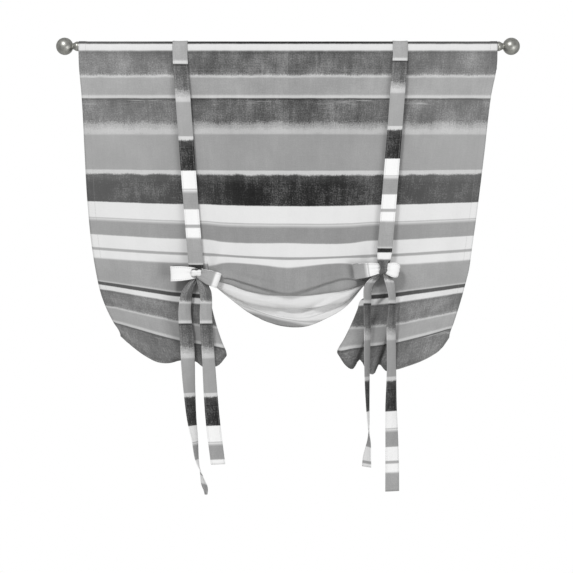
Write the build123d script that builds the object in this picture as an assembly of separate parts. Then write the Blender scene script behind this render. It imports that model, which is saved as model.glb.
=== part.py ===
from build123d import *
import math
import os

# Tie-up curtain on a telescoping rod.
# Millimetres, +X right, -Y towards the viewer, +Z up.
# The origin is on the rod's axis, at the middle of the curtain's top.

# Sizes of the cloth
cloth_width = 1067.0
cloth_thickness = 1.5
hem_thickness = 2.5
hem_depth = 25.0
pocket_seam_drop = 60.0
pocket_clearance = 0.3

# Sizes of the rod and its fittings
outer_tube_diameter = 22.0
outer_tube_wall = 1.0
outer_tube_length = 642.0
inner_tube_length = 928.0
inner_tube_wall = 1.0
tube_clearance = 0.3
end_gap = 1.5
plug_length = 14.0
plug_clearance = 0.1
stud_diameter = 6.0
stud_length = 28.0
stud_clearance = 0.1
ball_diameter = 44.0
ball_reach = 35.0
ball_bands = 9
finial_sides = 28
neck_diameter = 14.0
neck_reach = 12.0
flange_diameter = 24.5
flange_lip = 2.0

# Sizes of the ties
tie_width = 38.0
tie_thickness = 1.2
tie_clearance = 0.3
left_tie_top = -275.0
right_tie_top = 286.0

# Where each tie is knotted and pinches the cloth
left_knot = Vector(-232, -22, -579)
right_knot = Vector(242, -22, -566)
left_pinch = Vector(-206, -8, -592)
right_pinch = Vector(200, -8, -598)
pinch_flat = 262.0

# Levels of a knot: height on it, half its width and half its depth
knot_levels = [(15, 12, 4), (9, 13, 8), (-1, 11, 9), (-10, 11, 7), (-16, 8, 3)]
knot_sides = 14

# How the sides of the cloth draw in, and how its rows tilt and sag
left_taper = 0.052
right_taper = 0.1176
left_corner_pull = 15.0
right_corner_pull = 8.0
corner_start = 400.0
left_edge_lift = 0.062
right_edge_lift = 0.043
lift_start = 270.0
middle_sag = 0.037
belly = 24.0
ripple = 8.0

half_width = cloth_width / 2
outer_radius = outer_tube_diameter / 2
pocket_inner_radius = outer_radius + pocket_clearance
pocket_outer_radius = pocket_inner_radius + cloth_thickness
rod_end = half_width + end_gap
knot_drop = -left_pinch.Z

# Lowest fold of each tail, from its outer edge to its inner edge
left_tail_fold = [
    Vector(-430, 26, -735),
    Vector(-402, 19, -760),
    Vector(-367, 8, -785),
    Vector(-330, -4, -802),
    Vector(-300, -8, -803),
    Vector(-276, -3, -797),
    Vector(-252, 4, -798),
    Vector(-234, 7, -801),
    Vector(-219, -5, -812),
    Vector(-198, -11, -813),
    Vector(-176, -9, -808),
    Vector(-157, 1, -785),
]
right_tail_fold = [
    Vector(414, 26, -739),
    Vector(393, 19, -768),
    Vector(367, 8, -786),
    Vector(340, -1, -799),
    Vector(306, -8, -811),
    Vector(275, -11, -820),
    Vector(249, -5, -823),
    Vector(232, 10, -808),
    Vector(222, -7, -828),
    Vector(204, -10, -827),
    Vector(184, 10, -795),
    Vector(166, -8, -818),
    Vector(149, -11, -811),
    Vector(126, -3, -778),
]

# Heights of the swag's folds, at even steps from the left pinch to the right one
front_fold = [-596, -592, -605, -620, -632, -621, -604, -593, -602]
second_fold = [-598, -606, -624, -634, -637, -636, -630, -622, -606]
third_fold = [-600, -633, -655, -665, -669, -669, -662, -650, -609]
swag_hem = [-602, -640, -677, -703, -716, -715, -695, -665, -612]

# Depths of the same folds at the pinches and at the middle
front_fold_depth = (-9.0, -34.0)
second_fold_depth = (-3.0, -21.0)
third_fold_depth = (2.5, -10.0)
swag_hem_depth = (8.5, 3.0)
fold_gap = (2.4, 5.0)

# Rows of the hanging panel, down from the rod's axis
panel_drops = [260.0, 420.0, 525.0]

# Rows of a tail, from the pinch to its lowest fold, and back up behind to the hem
tail_front_shares = [0.045, 0.19, 0.28, 0.62, 1.0]
tail_back_shares = [1.0, 0.9, 0.28, 0.19, 0.05]
tail_fold_radius = 5.0
tail_back_depth = (12.0, 19.0)
tail_back_swing = 22.0
tail_bow = 7.5
sling_room = 14.0
sling_shares = (0.045, 0.19)


def blend(start, end, share):
    return start + (end - start) * share


def side_reach(drop, taper, corner_pull):
    """Half the cloth's width on one side, at a drop below the rod."""
    reach = half_width - taper * drop
    if drop > corner_start:
        reach -= corner_pull * ((drop - corner_start) / (knot_drop - corner_start)) ** 2
    return reach


def pinch_column(pinch, drop):
    """The column of cloth that runs from the pocket down to a pinch."""
    share = drop / knot_drop
    side = math.copysign(1, pinch.X)
    x = blend(side * pinch_flat, pinch.X, share**1.2)
    return Vector(x, pinch.Y * share**1.5, -drop + (pinch.Z + knot_drop) * share**3)


def outer_row(pinch, shares, drop, taper, corner_pull, edge_lift):
    """One row of the panel between its side edge and a pinch's column."""
    inner = pinch_column(pinch, drop)
    side = math.copysign(1, pinch.X)
    edge_x = side * side_reach(drop, taper, corner_pull)
    lift = edge_lift * max(0.0, drop - lift_start)
    sway = ripple * (drop / knot_drop) ** 1.5
    row = []
    for share in shares:
        x = blend(edge_x, inner.X, share)
        y = -sway * math.cos(3 * math.pi * (1 - share))
        z = blend(-drop, inner.Z, share) + lift * (1 - share) ** 1.5
        row.append(Vector(x, y, z))
    return row


def middle_row(drop):
    """One row of the panel between the two pinches' columns."""
    left = pinch_column(left_pinch, drop)
    right = pinch_column(right_pinch, drop)
    sag = middle_sag * max(0.0, drop - lift_start)
    bulge = belly * (drop / knot_drop) ** 2
    count = len(front_fold) - 1
    row = []
    for i in range(count + 1):
        place = 2 * i / count - 1
        share = i / count
        hump = 1 - abs(place) ** 2.2
        point = left + (right - left) * share
        row.append(point + Vector(0, -bulge * hump, -sag * hump))
    return row


def fold_row(heights, depths, rise=(0.0, 0.0), depth_shift=(0.0, 0.0)):
    """One row of the swag: a fold's line, raised and set back by the given amounts."""
    count = len(heights) - 1
    row = []
    for i, height in enumerate(heights):
        place = 2 * i / count - 1
        hump = 1 - abs(place) ** 2.2
        x = blend(left_pinch.X, right_pinch.X, i / count)
        inset = (depths[0] - left_pinch.Y) * 0.4 * place**5
        y = blend(depths[0] + depth_shift[0], depths[1] + depth_shift[1], hump)
        z = height + blend(rise[0], rise[1], 1 - place**2)
        row.append(Vector(x - inset, y, z))
    return row


def tail_columns(fold):
    """Shares across a tail, so that its pleats run down to the points of its fold."""
    return [(p.X - fold[0].X) / (fold[-1].X - fold[0].X) for p in fold]


def tail_row(top, fold, share, side):
    """One row of a tail's front, between the pinch's row and the lowest fold.

    Beside the tie that passes under the gathered cloth, the tail steps aside.
    """
    room = 0.0
    if sling_shares[0] <= share <= sling_shares[1]:
        room = side * sling_room - share * (fold[-1].X - top[-1].X)
    bow = side * tail_bow * math.sin(math.pi * share) ** 2
    return [
        start + (end - start) * share + Vector(bow + room * column**2, 0, 0)
        for start, end, column in zip(top, fold, tail_columns(fold))
    ]


def tail_rows(top, fold, side):
    """All the rows of a tail below its pinch, front and back."""
    columns = tail_columns(fold)
    rows = [tail_row(top, fold, share, side) for share in tail_front_shares]
    rows.append([p + Vector(0, tail_fold_radius, -tail_fold_radius) for p in rows[-1]])
    rows.append([p + Vector(0, 2 * tail_fold_radius, 0) for p in rows[-2]])
    for share in tail_back_shares[1:]:
        depth = blend(*tail_back_depth, share)
        rows.append([
            Vector(p.X, depth + tail_back_swing * share * (1 - column) ** 2, p.Z)
            for p, column in zip(tail_row(top, fold, share, side), columns)
        ])
    return rows


def row_normals(rows):
    """The direction out of the cloth's back, at each point of its rows."""
    last_row = len(rows) - 1
    last_column = len(rows[0]) - 1
    normals = []
    for i in range(last_row + 1):
        line = []
        for j in range(last_column + 1):
            across = rows[i][min(j + 1, last_column)] - rows[i][max(j - 1, 0)]
            down = rows[min(i + 1, last_row)][j] - rows[max(i - 1, 0)][j]
            line.append(across.cross(down).normalized())
        normals.append(line)
    return normals


def ruled(first, second):
    return Face.make_surface_from_curves(first, second)


def smooth_edges(points):
    """One smooth edge through a row."""
    last = len(points) - 1
    return [Edge.make_spline(points, parameters=[i / last for i in range(last + 1)])]


def straight_edges(points):
    """A straight edge for each step of a row, as pressed pleats have."""
    return [Edge.make_line(start, end) for start, end in zip(points, points[1:])]


class Sheet:
    """Cloth of a given thickness about its rows of points."""

    def __init__(self, rows, thickness, make_edges):
        self.rows = rows
        self.normals = row_normals(rows)
        self.thickness = thickness
        self.make_edges = make_edges

    def match(self, other, own_column, other_column, last_row):
        """Share the other sheet's directions where the two are one cloth."""
        for i in range(last_row + 1):
            self.normals[i][own_column] = other.normals[i][other_column]

    def side(self, sign):
        """The points of one side of the cloth: -1 for its front, 1 for its back."""
        return [
            [p + n * (sign * thick / 2) for p, n in zip(row, line)]
            for row, line, thick in zip(self.rows, self.normals, self.thickness)
        ]

    def faces(self, first_side_from=0, last_side_from=0):
        """All faces; each side edge is closed from the given row down."""
        front = self.side(-1)
        back = self.side(1)
        front_edges = [self.make_edges(row) for row in front]
        back_edges = [self.make_edges(row) for row in back]
        pairs = [(front_edges[0], back_edges[0]), (front_edges[-1], back_edges[-1])]
        pairs += zip(front_edges, front_edges[1:])
        pairs += zip(back_edges, back_edges[1:])
        faces = [ruled(a, b) for first, second in pairs for a, b in zip(first, second)]
        for column, start in ((0, first_side_from), (-1, last_side_from)):
            for i in range(start, len(front) - 1):
                near = Edge.make_line(front[i][column], front[i + 1][column])
                far = Edge.make_line(back[i][column], back[i + 1][column])
                faces.append(ruled(near, far))
        return faces


def closed_solid(faces):
    return Solid(Shell(faces))


def teardrop(radius, tip_radius, drop):
    """The section of a rod pocket: round over the rod, drawn in at its seam."""
    return make_hull(Circle(radius).edges() + (Pos(0, -drop) * Circle(tip_radius)).edges())


def make_pocket():
    """The rod pocket along the top of the cloth."""
    outer = teardrop(pocket_outer_radius, cloth_thickness, pocket_seam_drop)
    inner_drop = pocket_seam_drop - 3 * cloth_thickness
    inner = teardrop(pocket_inner_radius, cloth_thickness / 4, inner_drop)
    section = Plane.YZ * (outer - inner)
    return Pos(-half_width, 0, 0) * extrude(section, cloth_width, dir=(1, 0, 0))


def make_cloth():
    """The panel below its pocket: two tails and, between them, the gathered swag."""
    left_shares = tail_columns(left_tail_fold)
    right_shares = tail_columns(right_tail_fold)
    drops = [pocket_seam_drop - cloth_thickness / 2] + panel_drops + [knot_drop]
    left = [
        outer_row(left_pinch, left_shares, d, left_taper, left_corner_pull, left_edge_lift)
        for d in drops
    ]
    right = [
        outer_row(right_pinch, right_shares, d, right_taper, right_corner_pull, right_edge_lift)
        for d in drops
    ]
    middle = [middle_row(d) for d in drops[:-1]]
    middle.append(fold_row(front_fold, (left_pinch.Y, -32.0), rise=(4.0, 28.0)))
    middle[-1][0] = left[-1][-1]
    middle[-1][-1] = right[-1][-1]
    pinch_row = len(drops) - 1

    left += tail_rows(left[-1], left_tail_fold, -1)
    right += tail_rows(right[-1], right_tail_fold, 1)

    middle.append(fold_row(front_fold, front_fold_depth))
    middle.append(fold_row(front_fold, front_fold_depth, depth_shift=fold_gap))
    middle.append(fold_row(front_fold, front_fold_depth, (4.0, 67.0), (4.0, 10.0)))
    middle.append(fold_row(second_fold, second_fold_depth))
    middle.append(fold_row(second_fold, second_fold_depth, depth_shift=fold_gap))
    middle.append(fold_row(second_fold, second_fold_depth, (4.0, 59.0), (3.6, 8.0)))
    middle.append(fold_row(third_fold, third_fold_depth))
    middle.append(fold_row(third_fold, third_fold_depth, depth_shift=fold_gap))
    middle.append(fold_row(third_fold, third_fold_depth, (4.0, 77.0), (3.8, 8.0)))
    middle.append(fold_row(swag_hem, swag_hem_depth, (3.0, hem_depth)))
    middle.append(fold_row(swag_hem, swag_hem_depth))

    def thicknesses(rows):
        return [cloth_thickness] * (len(rows) - 2) + [hem_thickness] * 2

    right = [list(reversed(row)) for row in right]
    left_sheet = Sheet(left, thicknesses(left), straight_edges)
    middle_sheet = Sheet(middle, thicknesses(middle), smooth_edges)
    right_sheet = Sheet(right, thicknesses(right), straight_edges)
    left_sheet.match(middle_sheet, -1, 0, pinch_row)
    right_sheet.match(middle_sheet, 0, -1, pinch_row)
    faces = left_sheet.faces(0, pinch_row)
    faces += middle_sheet.faces(pinch_row, pinch_row)
    faces += right_sheet.faces(pinch_row, 0)
    return closed_solid(faces)


def make_panel():
    """The curtain's cloth: pocket, panel, swag and tails in one piece."""
    return make_pocket() + make_cloth()


def ribbon(stations, thickness=tie_thickness):
    """A strap through stations, each a centre, a direction across it and a width."""
    rows = []
    for centre, across, width in stations:
        half = across.normalized() * (width / 2)
        rows.append([centre - half, centre + half])
    return closed_solid(Sheet(rows, [thickness] * len(rows), straight_edges).faces())


def turned(angle):
    """A direction across a hanging strap, turned about the vertical."""
    return Vector(math.cos(math.radians(angle)), math.sin(math.radians(angle)), 0)


def make_saddle(top_x):
    """The tie where it passes over the rod pocket."""
    inner = pocket_outer_radius + tie_clearance
    ring = Circle(inner + tie_thickness) - Circle(inner)
    upper = ring & Pos(0, 2 * inner) * Rectangle(4 * inner, 4 * inner)
    return Pos(top_x - tie_width / 2, 0, 0) * extrude(Plane.YZ * upper, tie_width, dir=(1, 0, 0))


def make_runs(top_x, knot, pinch):
    """The tie's front and rear runs, and its sling under the gathered cloth."""
    reach = pocket_outer_radius + tie_clearance + tie_thickness / 2
    across = Vector(1, 0, 0)
    side = math.copysign(1, knot.X)
    front = [
        (Vector(top_x, -reach, 0), across, tie_width),
        (Vector(top_x, -reach, -12), across, tie_width),
        (Vector(blend(top_x, knot.X, 0.5), -16, knot.Z / 2), across, tie_width),
        (Vector(blend(top_x, knot.X, 0.93), -21, knot.Z + 34), across, tie_width),
        (Vector(knot.X, knot.Y, knot.Z + 8), across, 26.0),
    ]
    rear = [
        (Vector(top_x, reach, 0), across, tie_width),
        (Vector(top_x, reach, -12), across, tie_width),
        (Vector(blend(top_x, knot.X, 0.5), 22, knot.Z / 2), across, tie_width),
        (Vector(blend(knot.X, pinch.X, 0.5), 32, pinch.Z + 30), across, 34.0),
        (Vector(pinch.X + side * 1, 30, pinch.Z - 4), across, 16.0),
        (Vector(pinch.X + side * 2, 20, pinch.Z - 20), across, 12.0),
        (Vector(pinch.X + side * 2, 4, pinch.Z - 26), across, 12.0),
        (Vector(pinch.X + side * 3, -12, pinch.Z - 22), across, 12.0),
        (Vector(pinch.X + side * 8, -20, pinch.Z - 8), across, 14.0),
        (Vector(blend(pinch.X, knot.X, 0.8), knot.Y, blend(pinch.Z, knot.Z, 0.7)), across, 16.0),
    ]
    return [ribbon(front), ribbon(rear)]


def knot_section(half_wide, half_deep):
    """A level cut through a knot, an oval of short straight sides."""
    points = []
    for i in range(knot_sides):
        angle = 2 * math.pi * i / knot_sides
        points.append((half_wide * math.cos(angle), half_deep * math.sin(angle)))
    return make_face(Polyline(*points, close=True))


def make_knot(knot):
    """The knot: one rounded lump, narrower above and below."""
    sections = [
        Pos(knot.X, knot.Y, knot.Z + height) * knot_section(half_wide, half_deep)
        for height, half_wide, half_deep in knot_levels
    ]
    return loft(sections, ruled=True)


def make_loop(knot, length, droop, end_width, side):
    """One bow loop: out from the knot in front, round its end, and back behind."""
    along = Vector(side * math.cos(math.radians(droop)), 0, -math.sin(math.radians(droop)))
    across = Vector(side * math.sin(math.radians(droop)), 0, math.cos(math.radians(droop)))
    outline = [
        (0.05, -5.0, 22.0),
        (0.25, -13.0, 27.0),
        (0.6, -17.0, blend(27.0, end_width, 0.8)),
        (0.9, -15.0, end_width),
        (0.98, -12.0, end_width),
        (1.0, -8.5, end_width),
        (0.98, -5.0, end_width),
        (0.9, -2.5, end_width),
        (0.5, 0.0, blend(27.0, end_width, 0.6)),
        (0.05, 3.0, 22.0),
    ]
    stations = [
        (knot + along * (length * share) + Vector(0, depth, 0), across, width)
        for share, depth, width in outline
    ]
    return ribbon(stations)


def make_tail(stations):
    """A loose end of the tie; each station is x, y, z, turn and width."""
    return ribbon([(Vector(x, y, z), turned(turn), width) for x, y, z, turn, width in stations])


left_tie_tails = [
    [
        (-234, -24, -590, 20, 14),
        (-254, -29, -622, 36, 32),
        (-261, -31, -660, 36, tie_width),
        (-256, -31, -748, 23, tie_width),
        (-250, -31, -875, 43, tie_width),
        (-243, -31, -957, 58, tie_width),
        (-236, -31, -1003, 70, tie_width),
        (-229, -31, -1059, 84, tie_width),
        (-220, -31, -1088, 100, tie_width),
        (-212, -31, -1118, 118, 34),
        (-208, -31, -1140, 128, 6),
    ],
    [
        (-226, -26, -590, 15, 16),
        (-211, -31, -622, 38, 36),
        (-208, -33, -692, 38, tie_width),
        (-202, -33, -790, 37, tie_width),
        (-190, -33, -958, 22, tie_width),
        (-177, -33, -1064, 22, tie_width),
    ],
]
right_tie_tails = [
    [
        (236, -26, -577, 25, 16),
        (205, -34, -609, 52, 36),
        (201, -36, -655, 58, tie_width),
        (201, -36, -724, 62, tie_width),
        (200, -36, -812, 67, tie_width),
        (202, -36, -918, 76, tie_width),
        (204, -36, -970, 83, tie_width),
        (205, -36, -1003, 98, tie_width),
        (200, -36, -1046, 118, tie_width),
        (199, -36, -1070, 124, tie_width),
    ],
    [
        (248, -26, -577, 15, 16),
        (259, -33, -609, 48, 36),
        (261, -35, -724, 50, tie_width),
        (262, -35, -834, 49, tie_width),
        (261, -34, -918, 39, tie_width),
        (263, -33, -1003, 30, tie_width),
        (264, -32, -1083, 23, tie_width),
        (264, -32, -1132, 21, tie_width),
    ],
]


def make_tie(top_x, knot, pinch, loops, tails):
    """One tie: a long strap over the rod, knotted in a bow under the gathered cloth."""
    tie = make_saddle(top_x)
    for piece in make_runs(top_x, knot, pinch):
        tie += piece
    tie += make_knot(knot)
    for length, droop, end_width, side in loops:
        tie += make_loop(knot, length, droop, end_width, side)
    for stations in tails:
        tie += make_tail(stations)
    return tie


def make_tube(diameter, wall, length, start_x):
    """A tube along the rod, from start_x to the right."""
    section = Plane.YZ * (Circle(diameter / 2) - Circle(diameter / 2 - wall))
    return Pos(start_x, 0, 0) * extrude(section, length, dir=(1, 0, 0))


def finial_ring(along, diameter):
    """Even points round a finial's axis, at one place along it."""
    ring = []
    for i in range(finial_sides):
        angle = 2 * math.pi * i / finial_sides
        reach = diameter / 2
        ring.append(Vector(along, reach * math.cos(angle), reach * math.sin(angle)))
    return ring


def flat_face(points):
    return Face(Wire.make_polygon(points, close=True))


def make_finial():
    """A ball finial on a flared neck, standing on the YZ plane and pointing along +X.

    Its round surface is turned in small flats, which keeps its mesh light.
    """
    rings = [
        finial_ring(0, flange_diameter),
        finial_ring(flange_lip, flange_diameter),
        finial_ring(neck_reach, neck_diameter),
    ]
    first_angle = math.asin(neck_diameter / ball_diameter)
    last_angle = math.pi - first_angle / 2
    for i in range(ball_bands + 1):
        angle = blend(first_angle, last_angle, i / ball_bands)
        along = ball_reach - ball_diameter / 2 * math.cos(angle)
        rings.append(finial_ring(along, ball_diameter * math.sin(angle)))
    faces = [flat_face(rings[0]), flat_face(rings[-1])]
    for near, far in zip(rings, rings[1:]):
        for i in range(finial_sides):
            faces.append(flat_face([near[i - 1], near[i], far[i], far[i - 1]]))
    bore = Plane.YZ * Circle(stud_diameter / 2 + stud_clearance)
    return closed_solid(faces) - extrude(bore, stud_length / 2 + stud_clearance, dir=(1, 0, 0))


def make_stud():
    """The screw that joins a finial to its plug, half in each."""
    section = Plane.YZ * Circle(stud_diameter / 2)
    return Pos(-stud_length / 2, 0, 0) * extrude(section, stud_length, dir=(1, 0, 0))


def make_plug(tube_bore):
    """The plug in a tube's end, flush with the end, with a hole for the stud."""
    hole = stud_diameter / 2 + stud_clearance
    section = Plane.YZ * (Circle(tube_bore / 2 - plug_clearance) - Circle(hole))
    return Pos(-plug_length, 0, 0) * extrude(section, plug_length, dir=(1, 0, 0))


def at_right_end(piece):
    return Pos(rod_end, 0, 0) * piece


def at_left_end(piece):
    return Pos(-rod_end, 0, 0) * mirror(piece, about=Plane.YZ)


outer_bore = outer_tube_diameter - 2 * outer_tube_wall
inner_tube_diameter = outer_bore - 2 * tube_clearance
inner_bore = inner_tube_diameter - 2 * inner_tube_wall

parts = {
    "curtain_panel": make_panel(),
    "left_tie": make_tie(
        left_tie_top,
        left_knot,
        left_pinch,
        [(62.0, 2.0, tie_width, -1), (56.0, 20.0, tie_width, 1)],
        left_tie_tails,
    ),
    "right_tie": make_tie(
        right_tie_top,
        right_knot,
        right_pinch,
        [(78.0, 8.0, tie_width, -1), (44.0, 12.0, tie_width, 1)],
        right_tie_tails,
    ),
    "rod_outer_tube": make_tube(outer_tube_diameter, outer_tube_wall, outer_tube_length, -rod_end),
    "rod_inner_tube": make_tube(
        inner_tube_diameter, inner_tube_wall, inner_tube_length, rod_end - inner_tube_length
    ),
    "left_finial": at_left_end(make_finial()),
    "right_finial": at_right_end(make_finial()),
    "left_finial_stud": at_left_end(make_stud()),
    "right_finial_stud": at_right_end(make_stud()),
    "left_end_plug": at_left_end(make_plug(outer_bore)),
    "right_end_plug": at_right_end(make_plug(inner_bore)),
}

os.makedirs("parts", exist_ok=True)
for name, piece in parts.items():
    export_step(piece, f"parts/{name}.step")
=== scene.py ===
import bpy
import bmesh
import math
import numpy as np
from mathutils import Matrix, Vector, noise


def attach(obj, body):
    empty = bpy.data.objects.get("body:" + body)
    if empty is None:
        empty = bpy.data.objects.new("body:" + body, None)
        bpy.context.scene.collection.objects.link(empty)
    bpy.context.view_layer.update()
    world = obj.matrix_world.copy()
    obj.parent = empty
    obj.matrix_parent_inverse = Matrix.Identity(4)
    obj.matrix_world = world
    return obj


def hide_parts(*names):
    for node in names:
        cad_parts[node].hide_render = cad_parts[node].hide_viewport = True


# Tie-up curtain on a telescoping rod. Sizes are in mm until a mesh is made.

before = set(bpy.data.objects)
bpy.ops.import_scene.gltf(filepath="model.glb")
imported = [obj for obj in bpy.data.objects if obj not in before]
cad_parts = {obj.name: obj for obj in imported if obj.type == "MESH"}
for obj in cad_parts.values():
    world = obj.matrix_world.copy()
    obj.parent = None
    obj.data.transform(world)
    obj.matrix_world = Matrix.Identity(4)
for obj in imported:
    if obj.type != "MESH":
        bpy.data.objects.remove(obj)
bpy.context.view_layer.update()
mm = 0.001
fixedBody = "curtain_and_fixed_rod"
slidingBody = "sliding_rod"
print("frame loaded")


# Camera and light

view = {
    "frameWidth": 1463.0,      # what the picture's width covers at the curtain
    "centreX": -3.8,
    "centreZ": -613.2,
    "distance": 4200.0,
    "skyStrength": 0.55,
    # each light's place and width in metres, and its watts
    "lights": {
        "key": ((-1.3, -3.4, 2.0), 0.9, 104.0),
        "fill": ((2.0, -2.8, -1.4), 1.6, 40.0),
    },
}


def makeCamera():
    data = bpy.data.cameras.new("camera")
    data.sensor_width = 36.0
    data.lens = data.sensor_width * view["distance"] / view["frameWidth"]
    data.clip_end = 50.0
    camera = bpy.data.objects.new("camera", data)
    camera.location = Vector((view["centreX"], -view["distance"], view["centreZ"])) * mm
    camera.rotation_euler = (math.pi / 2, 0, 0)
    bpy.context.scene.collection.objects.link(camera)
    bpy.context.scene.camera = camera


def makeAreaLight(name, place, size, watts):
    data = bpy.data.lights.new(name, "AREA")
    data.size = size
    data.energy = watts
    light = bpy.data.objects.new(name, data)
    light.location = place
    target = Vector((0, 0, view["centreZ"] * mm))
    light.rotation_euler = (target - Vector(place)).to_track_quat("-Z", "Y").to_euler()
    bpy.context.scene.collection.objects.link(light)


def makeWorld():
    # a white surround that lights the cloth only softly, so its folds keep their shadows
    world = bpy.data.worlds.new("studio")
    world.use_nodes = True
    background = world.node_tree.nodes["Background"]
    background.inputs["Color"].default_value = (1, 1, 1, 1)
    seen = addNode(world.node_tree, "LightPath").outputs["Is Camera Ray"]
    strength = addNode(world.node_tree, "MapRange", None,
                       {0: seen, 3: view["skyStrength"], 4: 1.0})
    setInputs(world.node_tree, background, {"Strength": strength})
    bpy.context.scene.world = world
    bpy.context.scene.view_settings.view_transform = "Standard"


# Materials

def hexColor(text):
    # sRGB hex to the linear colour that Blender's sockets take
    channels = [int(text[i:i + 2], 16) / 255 for i in (1, 3, 5)]
    linear = [c / 12.92 if c <= 0.04045 else ((c + 0.055) / 1.055) ** 2.4 for c in channels]
    return (*linear, 1.0)


def setInputs(tree, node, inputs):
    # a node among the inputs is linked by its first output
    for socket, value in inputs.items():
        if isinstance(value, bpy.types.Node):
            value = value.outputs[0]
        if isinstance(value, bpy.types.NodeSocket):
            tree.links.new(value, node.inputs[socket])
        else:
            node.inputs[socket].default_value = value


def addNode(tree, kind, settings=None, inputs=None):
    node = tree.nodes.new(f"ShaderNode{kind}")
    for name, value in (settings or {}).items():
        setattr(node, name, value)
    setInputs(tree, node, inputs or {})
    return node


def newMaterial(name):
    material = bpy.data.materials.new(name)
    material.use_nodes = True
    return material, material.node_tree, material.node_tree.nodes["Principled BSDF"]


# settings that many nodes share
add = {"operation": "ADD"}
subtract = {"operation": "SUBTRACT"}
multiply = {"operation": "MULTIPLY"}
multiplyAdd = {"operation": "MULTIPLY_ADD"}
maximum = {"operation": "MAXIMUM"}
absolute = {"operation": "ABSOLUTE"}
sine = {"operation": "SINE"}
wrap = {"operation": "WRAP"}
isNear = {"operation": "COMPARE"}
isOver = {"operation": "GREATER_THAN"}
mixColors = {"data_type": "RGBA"}

# Printed stripes down the cloth: where each starts, its colour, how strongly
# its ink is mottled, and how soft its upper edge is
stripes = {
    "repeat": 636.0,
    "split": 300.0,            # the stripes are shared between two colour ramps here
    "bands": [
        (0, "#202020", 0.20, 1.0),
        (5.6, "#d0d0d0", 0.04, 1.0),
        (22, "#525252", 0.60, 2.0),
        (30, "#5f5f5f", 0.70, 6.0),
        (78, "#6c6c6c", 0.70, 8.0),
        (86, "#b8b8b8", 0.12, 5.0),
        (92, "#929292", 0.16, 1.2),
        (137, "#b8b8b8", 0.10, 1.5),
        (145, "#2e2e2e", 0.50, 1.5),
        (149.5, "#5a5a5a", 0.75, 6.0),
        (209, "#989898", 0.25, 12.0),
        (222, "#acacac", 0.12, 6.0),
        (238, "#8e8e8e", 0.10, 1.5),
        (329, "#bababa", 0.08, 1.5),
        (340, "#3a3a3a", 0.75, 4.0),
        (356, "#212121", 0.9, 14.0),
        (416, "#d3d3d3", 0.03, 1.5),
        (459, "#a4a4a4", 0.05, 1.0),
        (461.5, "#c4c4c4", 0.03, 1.0),
        (464.5, "#9a9a9a", 0.05, 1.0),
        (468, "#868686", 0.12, 1.5),
        (505, "#d2d2d2", 0.03, 1.5),
        (541, "#949494", 0.05, 1.0),
        (547, "#d3d3d3", 0.03, 1.0),
        (570, "#8c8c8c", 0.14, 4.0),
        (629, "#b4b4b4", 0.06, 1.5),
        (632.5, "#202020", 0.20, 1.0),
    ],
    # where washes of ink bleed past their edges: place, reach along the cloth, how far
    "bleeds": [(83.0, 10.0, 6.0), (214.0, 22.0, 15.0), (346.0, 14.0, 9.0)],
}

# Printed slub linen: matte plain-weave cloth with uneven threads, inked in washes.
# Sizes are widths across and lengths down the cloth.
linen = {
    "roughness": 0.88,
    "roughnessSpeckle": 0.12,
    "sheen": 0.06,
    "sheenRoughness": 0.5,
    "specularLevel": 0.2,
    "threadSpacing": 1.8,      # real threads are about 0.6 mm apart, drawn coarser to show
    "threadBump": 0.12,
    "bumpStrength": 0.5,
    "slubLength": 30.0,
    "slubHeight": 2.5,
    "speckleSize": (3.4, 3.4),
    "waverSize": (34.0, 60.0),
    "blotchSize": (90.0, 90.0),
    "brushSize": (14.0, 90.0),
    "edgeSpeckle": 0.9,        # how much the speckle counts in the washes' edges
    "speckleInk": 2.0,         # and how much each unevenness counts in the ink
    "blotchInk": 2.2,
    "brushInk": 0.9,
    "threadInk": 0.6,
    "threadColor": "#e8e8e8",  # bare thread shows where the ink is thin
    "bareShare": 0.15,
    "dryColor": "#b4b4b4",     # dry-brush streaks just under the second dark stripe's edge
    "drySize": (111.1, 9.09),
    "dryPlace": 157.0,
    "dryReach": 7.0,
    "dryStart": 0.10,
    "dryFull": 0.24,
    "dryShare": 0.5,
    "paintedSideLightColor": "#dcdcdc",    # painted light: the cloth is washed paler towards the side hems, standing in for light shining through it there
    "paintedSideLightStart": 100.0,
    "paintedSideLightFull": 500.0,
    "paintedSideLightShare": 0.1,
    "strapInk": 1.2,           # the straps are printed a little paler
    "reverseColor": "#c4c4c4",
    "reverseShare": 0.55,
    "stitchColor": "#8f8f8f",
    "stitchShare": 0.4,
    "stitchWidth": 1.2,
    "stitchBreak": -0.4,       # higher leaves wider breaks between stitches
    "stitchDepth": 3.0,
}


def inkStop(band):
    # a ramp's colour, whose alpha carries the mottling
    return (*hexColor(band[1])[:3], band[2])


def fillRamp(ramp, bands, before):
    # one pair of stops at each stripe's upper edge
    stops = []
    last = inkStop(before)
    for band in bands:
        start, soft = band[0], band[3]
        stops.append(((start - soft / 2) / stripes["repeat"], last))
        last = inkStop(band)
        stops.append(((start + soft / 2) / stripes["repeat"], last))
    elements = ramp.color_ramp.elements
    while len(elements) < len(stops):
        elements.new(1.0)
    for element, (place, value) in zip(elements, stops):
        element.position = min(max(place, 0.0), 1.0)
        element.color = value


def addUnevenness(tree, place, size, detail):
    # noise about zero, with grains of the given size on the flat cloth
    width, length = size
    scaled = addNode(tree, "VectorMath", multiply,
                     {0: place, 1: (1000 / width, 1000 / length, 0)})
    clouds = addNode(tree, "TexNoise", {"noise_dimensions": "2D"},
                     {"Vector": scaled, "Scale": 1.0, "Detail": detail, "Roughness": 0.6})
    return addNode(tree, "Math", subtract, {0: clouds, 1: 0.5})


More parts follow.
